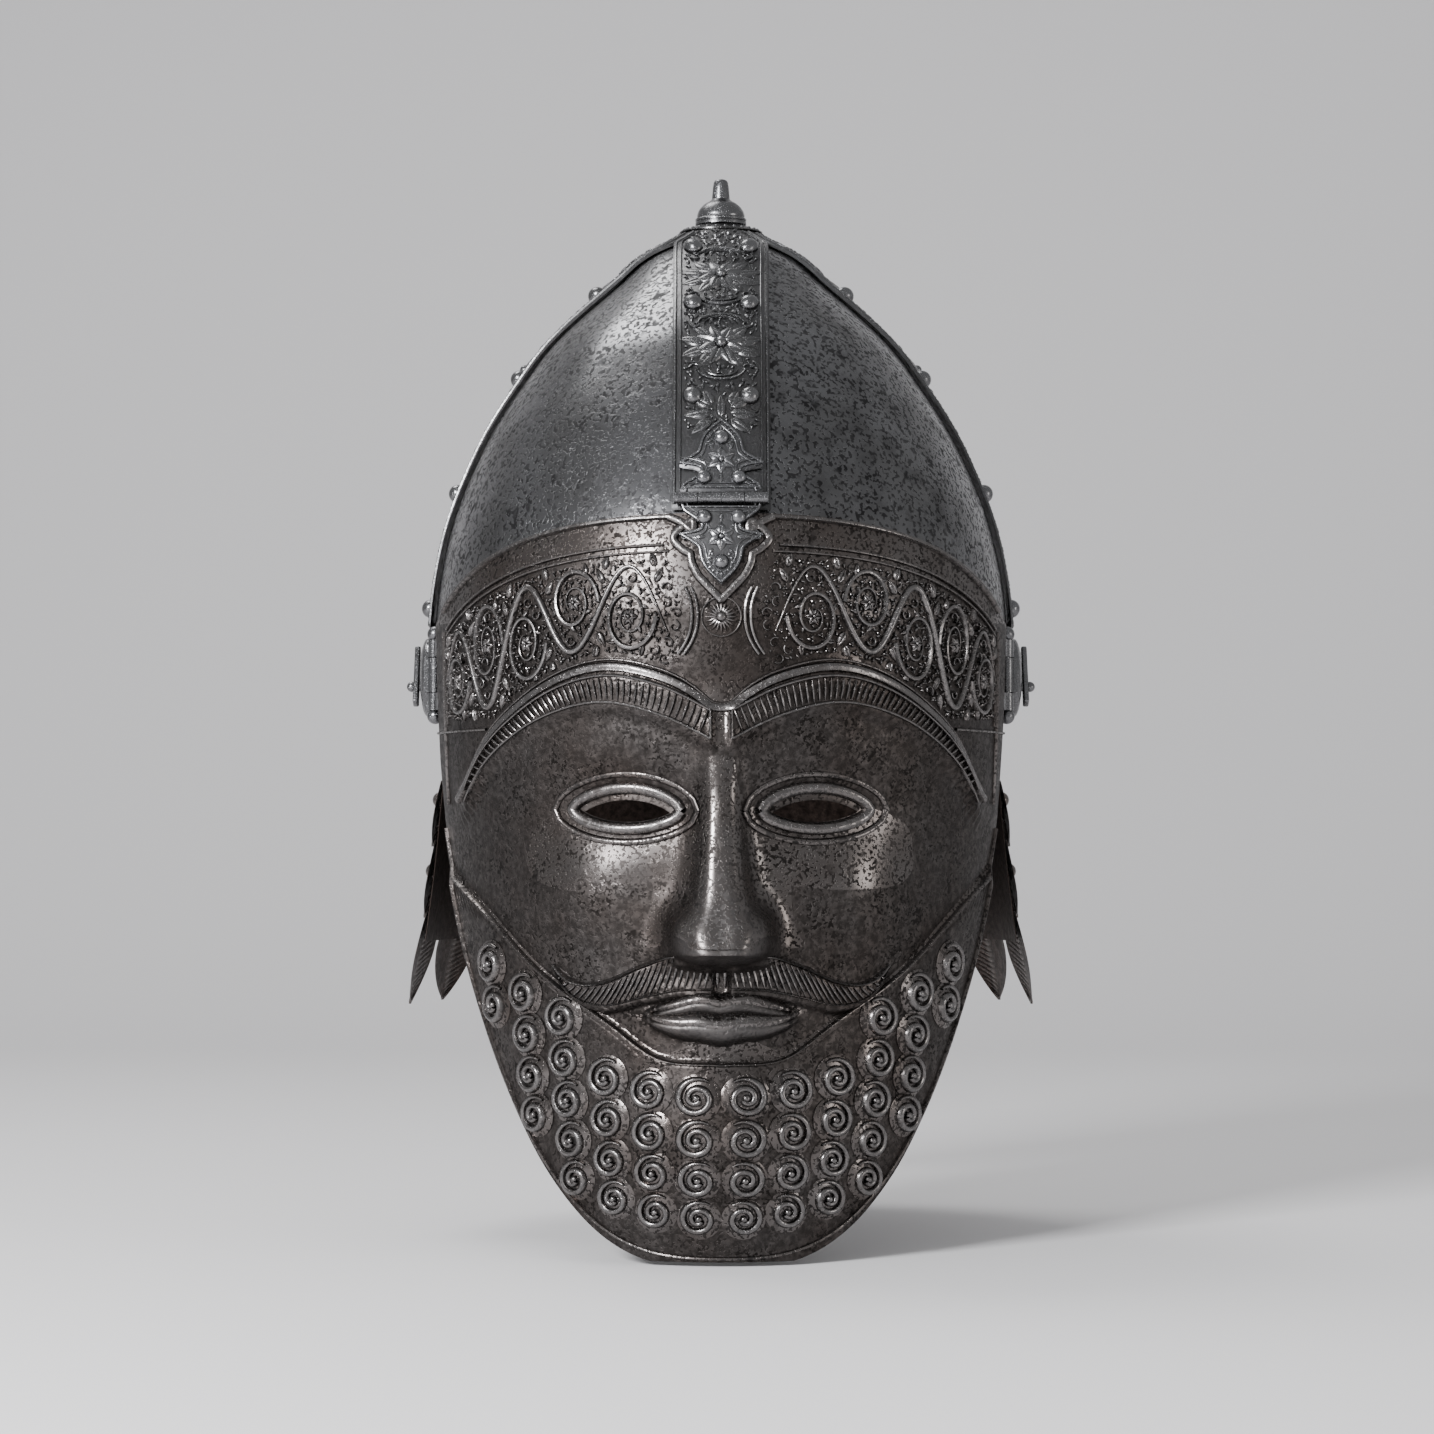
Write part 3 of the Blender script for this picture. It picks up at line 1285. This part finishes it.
def vine_field():
    """The forehead's generic vine: a wavy stem with scrolls, leaves and buds on both sides."""
    bm = new_mesh()
    verts = []
    lobe, start = VINE_LOBE, VINE_START

    def low(x):
        return field_low(plain_x(mask_degrees(x, 15), 15)) + 0.6

    def middle(x):
        return (low(x) + border_height(x, 14)) / 2

    def spread(x):
        return (border_height(x, 14) - low(x)) / 2

    def stem_height(x):
        return middle(x) + 0.8 * spread(x) * math.sin(math.pi * (x - start) / lobe)

    stem = [Vector((x, stem_height(x))) for x in steps(start - 3, start + VINE_LOBES * lobe, 150)]
    verts += add_ridge(bm, stem, 2.6, 1.6, both_ends, sides=6)
    for k in range(VINE_LOBES):
        x = start + lobe * (k + 0.5)
        up = 1 if k % 2 == 0 else -1
        tall = spread(x) * 0.74
        y = middle(x) - up * spread(x) * 0.2
        verts += add_scroll(bm, x, y, lobe * 0.47, tall, up)
        for lean in (-1, 1):
            node = x + lean * lobe / 2
            for far, turn in ((0.5, 0.5), (0.78, -0.25)):
                edge = middle(node) + up * spread(node) * far
                verts += add_leaf(bm, node - lean * 1.2, edge, up * (math.pi / 2 - lean * turn), 6, 3, 1.4, 3)

    def inside(x, y, size):
        return low(x) + size < y < border_height(x, 14.2) - size and x > 12 + size + 0.28 * abs(y - 36)

    verts += fill_ground(bm, verts, inside, ((10, -2), (122, 58)), (2.5, 1.9, 1.4, 1.0, 0.75), height=1.3)
    for vertex in verts:
        vertex.co.y = clamp(vertex.co.y, low(vertex.co.x), border_height(vertex.co.x, 13.6))
    finish_on_mask("forehead_vine", bm, verts, 1.25)


def brow_bands():
    """Both eyebrows: a long arch of close ribs between two raised lines, narrower outwards."""
    bm = new_mesh()
    verts = []
    outline = [(x, brow_line(x) + brow_depth(x)) for x in steps(3.4, 87, 60)]
    under = [(x, brow_line(x) - brow_depth(x)) for x in steps(87, 3.4, 60)]
    end = [(3.4, brow_line(3.4) + share * 4.6) for share in steps(-1, 1, 8)]
    for line in (outline, under, end):
        verts += add_ridge(bm, on_mask(line), 1.2, 1.1)
    x = 5.6
    while x < 85:
        reach = brow_depth(x) - 0.9
        slope = (brow_line(x + 1) - brow_line(x - 1)) / 2
        aside = Vector((-slope, 1)).normalized()
        path = [(x + (aside.x + 0.12) * far, brow_line(x) + aside.y * far)
                for far in steps(-reach, reach, 5)]
        verts += add_ridge(bm, on_mask(path), 1.15, 1.0, both_ends)
        x += 2.05 * math.cos(math.asin(clamp(x / 104)))
    finish_on_mask("brow_bands", bm, verts, 1.5)


def eyelids():
    """Raised rims round both eye openings and a fold round each of them."""
    bm = new_mesh()
    verts = []
    for out, width, height in ((2.2, 4.4, 2.3), (6.6, 2.4, 1.2)):
        ring = []
        for upper in (True, False):
            for share in steps(0, 1, 30) if upper else steps(1, 0, 30):
                reach = EYE_WIDTH / 2 + out * 1.3
                x = EYE_SPACING / 2 + (2 * share - 1) * reach
                lift = out * (1 if upper else -1) * (4 * share * (1 - share)) ** 0.45
                ring.append((x, EYE_HEIGHT + almond(share, upper) + lift))
        verts += add_ridge(bm, on_mask(ring), width, height, sides=8)
    finish_on_mask("eyelids", bm, verts, 3.4)


def moustache():
    """The moustache: two curved lobes of slanted ribs inside raised lines, with upturned points."""
    bm = new_mesh()
    verts = []
    lower, upper = ([(x, moustache_line(x) + edge * moustache_depth(x)) for x in steps(2.6, 56, 50)]
                    for edge in (-1, 1))
    end = [(2.6, moustache_line(2.6) + share * moustache_depth(2.6)) for share in steps(-1, 1, 8)]
    for line in (lower, upper, end):
        verts += add_ridge(bm, on_mask(line), 1.1, 1.0)
    x = 4.4
    while x < 54:
        reach = moustache_depth(x) - 0.7
        slant = 0.2 + 0.55 * smooth_step(x, 6, 40)
        path = [(x + slant * far, moustache_line(x + slant * far) - far) for far in steps(-reach, reach, 6)]
        verts += add_ridge(bm, on_mask(path), 1.2, 1.0, both_ends)
        x += 2.0
    stem = [(1.2, z) for z in steps(NOSE_FOOT - 4.5, MOUTH_HEIGHT + 8, 8)]
    verts += add_ridge(bm, on_mask(stem), 1.6, 1.0, both_ends)
    finish_on_mask("moustache", bm, verts, 1.5)


def beard(settings):
    """Rows of mirrored snail curls over the jaw and the chin, inside an incised edge line."""
    bm = new_mesh()
    verts = []
    radius = settings.curl_radius / MM
    pitch = settings.curl_pitch / MM
    row_height = CURL_TOP
    for _ in range(CURL_ROWS):
        for column in range(8):
            degrees = math.degrees((column + 0.5) * pitch / CROWN_HALF_WIDTH)
            if degrees > CURL_END:
                continue
            spot = row_height + CURL_RISE * (degrees / CURL_END) ** 2
            width = mask_spans(spot)[0]
            flat_x = width * math.sin(math.radians(degrees))
            room = CURL_ROOM * face_width(spot)
            if spot - room * 0.9 < mask_foot(degrees + 3) or spot + room * 0.85 > beard_line(flat_x):
                continue
            verts += add_curl(bm, girth_at(degrees) * width, spot, radius * face_width(spot))
        row_height -= pitch * 0.93 * face_width(row_height)
    edge = on_mask([(x, beard_line(x) - 0.6) for x in steps(0, 92.4, 60)])
    verts += add_ridge(bm, edge, 1.1, 1.1)
    foot = []
    for degrees in steps(0, MASK_SIDE_ANGLE - 1, 60):
        height = mask_foot(degrees) + 1.4
        foot.append(Vector((mask_spans(height)[0] * girth_at(degrees), height)))
    verts += add_ridge(bm, foot, 1.6, 1.1)
    finish_on_mask("beard_curls", bm, verts, 3.2)


def side_knuckles(side):
    """The mask's two knuckles and their balls at one temple, on lugs from the mask's edge."""
    bm = new_mesh()
    x, y = side * HASP_BARREL_SIDE, HASP_BARREL_BACK
    for low, high in SIDE_KNUCKLES:
        add_upright(bm, HASP_BARREL_RADIUS, low, high, x, y)
        middle = (low + high) / 2
        edge = mask_place(MASK_SIDE_ANGLE - 0.5, middle, -MASK_WALL / 2)
        barrel = Vector((x, y, middle))
        ahead = barrel - Vector((side * edge.x, edge.y, middle))
        turn = Matrix.Rotation(math.atan2(-ahead.x, ahead.y), 4, "Z")
        add_block(bm, barrel - ahead / 2, (MASK_WALL, ahead.length, high - low), turn)
    foot, top = SIDE_KNUCKLES[0][0], SIDE_KNUCKLES[1][1]
    add_upright(bm, HASP_PIN_RADIUS, foot, top, x, y, 16)
    for z in (top + 2, foot - 2):
        add_sphere(bm, HASP_BALL_RADIUS, (x, y, z))
    set_rub(bm, bm.verts, 0.45)
    finish_piece(side_word(side) + "_side_knuckles", bm, "mask_body", "bright_steel")


# Hasps and turn buttons


def side_word(side):
    return "right" if side > 0 else "left"


def cut_with(bm, cutter):
    """Cuts one closed mesh out of another."""
    solid, tool = (link_object("cut", smooth_mesh("cut", source)) for source in (bm, cutter))
    modifier = solid.modifiers.new("cut", "BOOLEAN")
    modifier.object = tool
    modifier.operation = "DIFFERENCE"
    modifier.solver = "EXACT"
    result = bmesh.new()
    result.from_object(solid, bpy.context.evaluated_depsgraph_get())
    for item in (solid, tool):
        mesh = item.data
        bpy.data.objects.remove(item)
        bpy.data.meshes.remove(mesh)
    for name in ("rub", "grime"):
        if name not in result.verts.layers.float:
            result.verts.layers.float.new(name)
    return result


SLOT_RADIUS = math.hypot(BOSS_BACK - HINGE_BACK, HINGE_HEIGHT - STEM_HEIGHT)
STEM_ANGLE = math.atan2(STEM_HEIGHT - HINGE_HEIGHT, BOSS_BACK - HINGE_BACK)


def slot_cutter(side):
    """A block bent round the forehead hinge's axis, which clears the button's stem."""
    bm = bmesh.new()
    angles = steps(STEM_ANGLE - 8.8 / SLOT_RADIUS, STEM_ANGLE + 41 / SLOT_RADIUS, 24)
    radii = (SLOT_RADIUS - 3.9, SLOT_RADIUS + 5.1)
    add_grid(bm, radii, angles, lambda radius, angle: Vector((
        side * 96, HINGE_BACK + radius * math.cos(angle), HINGE_HEIGHT + radius * math.sin(angle))))
    made = bmesh.ops.extrude_face_region(bm, geom=bm.faces[:])
    far = [item for item in made["geom"] if isinstance(item, bmesh.types.BMVert)]
    bmesh.ops.translate(bm, vec=(side * 24, 0, 0), verts=far)
    bmesh.ops.recalc_face_normals(bm, faces=bm.faces)
    return bm


def hasp_plate(side):
    """The hasp's flat plate with its rounded corners."""
    bm = bmesh.new()
    add_block(bm, (side * (HASP_PLATE_SIDE + HASP_THICKNESS / 2), -2.5, HASP_HEIGHT),
              (HASP_THICKNESS, HASP_LENGTH, HASP_WIDTH))
    corners = [edge for edge in bm.edges if abs(edge.verts[0].co.x - edge.verts[1].co.x) > 1]
    bevel(bm, corners, 3, 6)
    rims = [edge for edge in bm.edges if len(edge.link_faces) == 2 and edge.calc_face_angle(0) > 1]
    bevel(bm, rims, 0.3, 2)
    return bm


def hasp_boss(side):
    """The turned dome on the hasp's plate."""
    bm = bmesh.new()
    dome = [(BOSS_RADIUS * math.sin(math.radians(a)), BOSS_RISE * math.cos(math.radians(a)) ** 0.8)
            for a in range(8, 86, 6)]
    spin_profile(bm, [(0, BOSS_RISE), *dome, (BOSS_RADIUS, 0.15), (BOSS_RADIUS, -0.6), (0, -0.6)], 56)
    outward(bm)
    bmesh.ops.rotate(bm, verts=bm.verts, matrix=Matrix.Rotation(side * math.pi / 2, 3, "Y"))
    seat = (side * (HASP_PLATE_SIDE + HASP_THICKNESS), BOSS_BACK, HASP_HEIGHT)
    bmesh.ops.translate(bm, verts=bm.verts, vec=seat)
    return bm


def hasp(side):
    """One hasp: its plate, the domed boss with the slot, the neck and the middle knuckle."""
    boss, whole = (cut_with(solid(side), slot_cutter(side)) for solid in (hasp_boss, hasp_plate))
    join(whole, boss)
    add_block(whole, (side * (HASP_PLATE_SIDE + 0.5), -21, HASP_HEIGHT), (2.2, 13.6, 11.8))
    add_upright(whole, HASP_BARREL_RADIUS, HASP_HEIGHT - 6, HASP_HEIGHT + 6,
                side * HASP_BARREL_SIDE, HASP_BARREL_BACK)
    set_rub(whole, whole.verts, 0.3)
    word = side_word(side)
    finish_piece(word + "_hasp_plate", whole, word + "_hasp_body", "bright_steel", [word + "_hasp"])


def turn_button(side):
    """One turn button: the foot, the stem, the rounded bar and its ball knob."""
    bm = new_mesh()
    word = side_word(side)
    low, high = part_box(word + "_turn_button")
    near = min(abs(low[0]), abs(high[0])) / MM
    across = Matrix.Rotation(math.pi / 2, 4, "Y")
    for radius, end in ((2.85, near + 0.8), (STEM_RADIUS, BUTTON_BAR_SIDE + 1)):
        centre = Matrix.Translation((side * (near + end) / 2, BOSS_BACK, STEM_HEIGHT))
        add_cylinder(bm, radius, end - near, centre @ across)
    turn = Matrix.Rotation(STEM_ANGLE, 4, "X")
    stem = Vector((side * (BUTTON_BAR_SIDE + BUTTON_BAR[0] / 2), BOSS_BACK, STEM_HEIGHT))
    bar = add_block(bm, stem + turn @ Vector((0, 0, 4.4)), BUTTON_BAR, turn)
    bevel(bm, list({edge for vertex in bar for edge in vertex.link_edges}), 0.6, 3)
    add_sphere(bm, BUTTON_KNOB_RADIUS, (side * (BUTTON_BAR_SIDE + 2.65), BOSS_BACK, STEM_HEIGHT))
    set_rub(bm, bm.verts, 0.55)
    finish_piece(word + "_turn_button_bar", bm, word + "_button_body", "bright_steel",
                 [word + "_turn_button"])


# Nape guard


def nape_plate():
    bm = new_mesh()
    add_grid(bm, steps(NAPE_START_ANGLE, 360 - NAPE_START_ANGLE, 120), steps(NAPE_FOOT, NAPE_TOP, 40),
             lambda degrees, z: nape_place(degrees, z, 0))
    thicken(bm, NAPE_WALL)
    finish_piece("nape_guard_plate", bm, "root", "feather_steel", ["nape_plate"])


def feather_width(reach, long_tip):
    """Share of a feather's width from root to tip: nearly straight sides, then a point."""
    start = 0.4 if long_tip else 0.5
    if reach < start:
        return 0.92 + 0.08 * smooth_step(reach, 0, start)
    return max(0.03, (1 - ((reach - start) / (1.01 - start)) ** 1.75) ** 0.9)


def feather_relief(across, reach, barbs):
    """Height of the shaft, of the barbs cut on one side and of the bevel on the other."""
    shaft = 0.55 * hump(across, 0.07) * (1 - 0.5 * reach)
    if across <= 0.06:
        return shaft - 0.75 * smooth_step(abs(across), 0.45, 1.0)
    edge = max(0.0, across - 0.72) / 0.28
    wave = math.sin(2 * math.pi * (barbs * reach + 2.2 * across))
    return shaft + 0.2 * wave * (1 - edge) - 0.35 * edge ** 2


def feather(tier, index, settings):
    """One steel feather with its rivet."""
    name, count, root, rivet, tip, lift = tier
    pitch = (360 - 2 * NAPE_START_ANGLE) / count
    middle = NAPE_START_ANGLE + pitch * (index + 0.5)
    half = pitch / 2 * (1 - 0.9 / (math.radians(pitch) * CROWN_HALF_WIDTH))
    turn = math.radians(middle)
    out = Vector((math.sin(turn), -math.cos(turn) / CROWN_DEPTH_RATIO, 0)).normalized()
    hand = 1 if middle < 180 else -1
    long_tip = rivet is None
    barbs = settings.barbs if long_tip else settings.barbs * 2 // 3

    def place(across, reach):
        degrees = middle + across * feather_width(reach, long_tip) * half
        spot = nape_place(degrees, root + (tip - root) * reach, 0)
        return spot + out * (feather_relief(across * hand, reach, barbs) + FEATHER_SEAT + lift * reach)

    bm = new_mesh()
    add_grid(bm, steps(-1, 1, 22), steps(1, 0, int((root - tip) * 2.6)), place)
    thicken(bm, FEATHER_WALL)
    rub = bm.verts.layers.float["rub"]
    for vertex in bm.verts:
        degrees = math.degrees(math.atan2(vertex.co.x, -vertex.co.y / CROWN_DEPTH_RATIO)) % 360
        spread = abs(degrees - middle) / half
        vertex[rub] = 0.75 * hump(spread, 0.09) + 0.5 * smooth_step(spread, 0.85, 1.0)
    if rivet is not None:
        seat = nape_place(middle, rivet, FEATHER_SEAT + lift * (rivet - root) / (tip - root))
        ball = add_sphere(bm, settings.rivet_radius / MM, seat, 20, 12)
        for vertex in ball:
            depth = (vertex.co - seat).dot(out)
            if depth < -0.5:
                vertex.co -= out * (depth + 0.5)
        set_rub(bm, ball, 0.9)
    finish_piece(f"{name}_{index + 1}_barbed", bm, "root", "feather_steel", [f"{name}_{index + 1}"])


# Settings, operators and panel


def length(name, description, default, low, high):
    return bpy.props.FloatProperty(name=name, description=description, default=default,
                                   min=low, max=high, unit="LENGTH")


class CrownSettings(bpy.types.PropertyGroup):
    dent_depth: length("Dent Depth", "Depth of the crown's hammered dents", 0.0003, 0, 0.002)
    rivet_radius: length("Rivet Radius", "Radius of the ball rivets on the bands", 0.0033, 0.001, 0.005)


class MaskSettings(bpy.types.PropertyGroup):
    curl_radius: length("Curl Radius", "Radius of the beard's snail curls", 0.0095, 0.003, 0.012)
    curl_pitch: length("Curl Pitch", "Distance between the beard's curls", 0.017, 0.006, 0.025)


class FeatherSettings(bpy.types.PropertyGroup):
    barbs: bpy.props.IntProperty(
        name="Barbs", description="Cut barbs along a long feather", default=16, min=4, max=40)
    rivet_radius: length("Rivet Radius", "Radius of the feathers' ball rivets", 0.003, 0.001, 0.005)


class StageSettings(bpy.types.PropertyGroup):
    key_power: bpy.props.FloatProperty(
        name="Key Power", description="Power of the large soft light", default=40.0, min=0, unit="POWER")
    backdrop: bpy.props.FloatVectorProperty(
        name="Backdrop", description="Colour of the floor and the wall behind it",
        subtype="COLOR", size=3, default=(0.72, 0.71, 0.715), min=0, max=1)


class HELMET_OT_crown(bpy.types.Operator):
    """Build the crown, its four bands, the cap plate and the finial"""
    bl_idname = "helmet.crown"
    bl_label = "Crown and Bands"

    def execute(self, context):
        settings = context.scene.helmet_crown
        crown_shell(settings)
        build_band("front_band", 0, 72.5, FRONT_RIVET_HEIGHTS, settings)
        build_band("right_band", 90, 38, SIDE_RIVET_HEIGHTS, settings)
        build_band("back_band", 180, 3, SIDE_RIVET_HEIGHTS, settings)
        build_band("left_band", 270, 38, SIDE_RIVET_HEIGHTS, settings)
        cap_plate()
        finial()
        return {"FINISHED"}


class HELMET_OT_hinge(bpy.types.Operator):
    """Build the two chased leaves of the forehead hinge"""
    bl_idname = "helmet.hinge"
    bl_label = "Forehead Hinge"

    def execute(self, context):
        hinge_leaves()
        return {"FINISHED"}


class HELMET_OT_mask(bpy.types.Operator):
    """Build the mask, its forehead ornament, brows, lids, moustache and beard"""
    bl_idname = "helmet.mask"
    bl_label = "Mask"

    def execute(self, context):
        settings = context.scene.helmet_mask
        for build in (mask_shell, forehead_frames, vine_field, brow_bands, eyelids, moustache):
            build()
        beard(settings)
        for side in (-1, 1):
            side_knuckles(side)
        return {"FINISHED"}


class HELMET_OT_hasps(bpy.types.Operator):
    """Build both side hasps and their turn buttons"""
    bl_idname = "helmet.hasps"
    bl_label = "Side Hasps"

    def execute(self, context):
        for side in (-1, 1):
            hasp(side)
            turn_button(side)
        return {"FINISHED"}


class HELMET_OT_nape(bpy.types.Operator):
    """Build the nape plate and its three tiers of steel feathers"""
    bl_idname = "helmet.nape"
    bl_label = "Nape Guard"

    def execute(self, context):
        nape_plate()
        settings = context.scene.helmet_feathers
        for tier in FEATHER_TIERS:
            for index in range(tier[1]):
                feather(tier, index, settings)
        return {"FINISHED"}


class HELMET_OT_stage(bpy.types.Operator):
    """Set up the floor, the soft studio light and the camera"""
    bl_idname = "helmet.stage"
    bl_label = "Stage"

    def execute(self, context):
        settings = context.scene.helmet_stage
        backdrop(settings)
        lights(settings)
        camera()
        return {"FINISHED"}


def backdrop(settings):
    """A pale floor that sweeps up into a wall far behind the helmet."""
    bm = bmesh.new()
    floor, front, back, height, bend = -0.1795, -2.6, 1.9, 2.6, 0.7
    flat = back - front - bend

    def place(x, share):
        past = share * (back - front + height) - flat
        if past < 0:
            return Vector((x, front + flat + past, floor))
        turned = min(past / bend, math.pi / 2)
        rise = bend * (1 - math.cos(turned)) + max(0.0, past - bend * math.pi / 2)
        return Vector((x, front + flat + bend * math.sin(turned), floor + rise))

    add_grid(bm, (-3, 3), steps(0, 1, 60), place)
    piece = link_object("floor", smooth_mesh("floor", bm))
    material = bpy.data.materials.new("Pale Floor")
    material.use_nodes = True
    shader = material.node_tree.nodes["Principled BSDF"]
    shader.inputs["Base Color"].default_value = (*settings.backdrop, 1)
    shader.inputs["Roughness"].default_value = 0.9
    piece.data.materials.append(material)


def lights(settings):
    """An even pale surround, a large key light, a weak fill and a light from above."""
    world = bpy.data.worlds.new("Studio")
    world.use_nodes = True
    surround = world.node_tree.nodes["Background"]
    surround.inputs["Color"].default_value = (0.97, 0.98, 1, 1)
    surround.inputs["Strength"].default_value = 0.55
    bpy.context.scene.world = world
    for name, place, size, share, color in (
        ("key", (-0.75, -1.15, 0.52), 0.36, 1, (0.97, 0.98, 1)),
        ("fill", (1.3, -0.7, 0.1), 0.45, 0.08, (1, 0.97, 0.94)),
        ("top", (-0.5, 0.5, 1.3), 0.6, 0.25, (1, 1, 1)),
    ):
        lamp = bpy.data.lights.new(name, "AREA")
        lamp.energy = settings.key_power * share
        lamp.size = size
        lamp.color = color
        item = link_object(name, lamp)
        item.location = place
        item.rotation_euler = (Vector((0, 0, 0.02)) - Vector(place)).to_track_quat("-Z", "Y").to_euler()


def camera():
    """A long lens level with the mouth, as in the photograph."""
    focal_pixels, sensor, tilt = 3880, 36, 1.67
    data = bpy.data.cameras.new("camera")
    data.sensor_width = sensor
    data.lens = sensor * focal_pixels / IMAGE_SIZE
    item = link_object("camera", data)
    item.location = (-0.0014, -1.40, -0.035)
    item.rotation_euler = (math.radians(90 + tilt), 0, 0)
    bpy.context.scene.camera = item


class HELMET_PT_panel(bpy.types.Panel):
    bl_label = "Ottoman Mask Helmet"
    bl_space_type = "VIEW_3D"
    bl_region_type = "UI"
    bl_category = "Helmet"

    def draw(self, context):
        for group in (context.scene.helmet_crown, context.scene.helmet_mask, context.scene.helmet_feathers,
                      context.scene.helmet_stage):
            for key in group.__annotations__:
                self.layout.prop(group, key)
        for operator in OPERATORS:
            self.layout.operator(operator.bl_idname)


OPERATORS = (HELMET_OT_stage, HELMET_OT_crown, HELMET_OT_hinge, HELMET_OT_mask, HELMET_OT_hasps,
             HELMET_OT_nape)
GROUPS = (("helmet_crown", CrownSettings), ("helmet_mask", MaskSettings),
          ("helmet_feathers", FeatherSettings), ("helmet_stage", StageSettings))


def register():
    for name, group in GROUPS:
        bpy.utils.register_class(group)
        setattr(bpy.types.Scene, name, bpy.props.PointerProperty(type=group))
    for item in OPERATORS + (HELMET_PT_panel,):
        bpy.utils.register_class(item)


def unregister():
    for item in (HELMET_PT_panel,) + OPERATORS:
        bpy.utils.unregister_class(item)
    for name, group in GROUPS:
        delattr(bpy.types.Scene, name)
        bpy.utils.unregister_class(group)


def main():
    register()
    bpy.ops.helmet.stage()
    bpy.ops.helmet.crown()
    bpy.ops.helmet.hinge()
    bpy.ops.helmet.mask()
    bpy.ops.helmet.hasps()
    bpy.ops.helmet.nape()


if __name__ == "__main__":
    main()
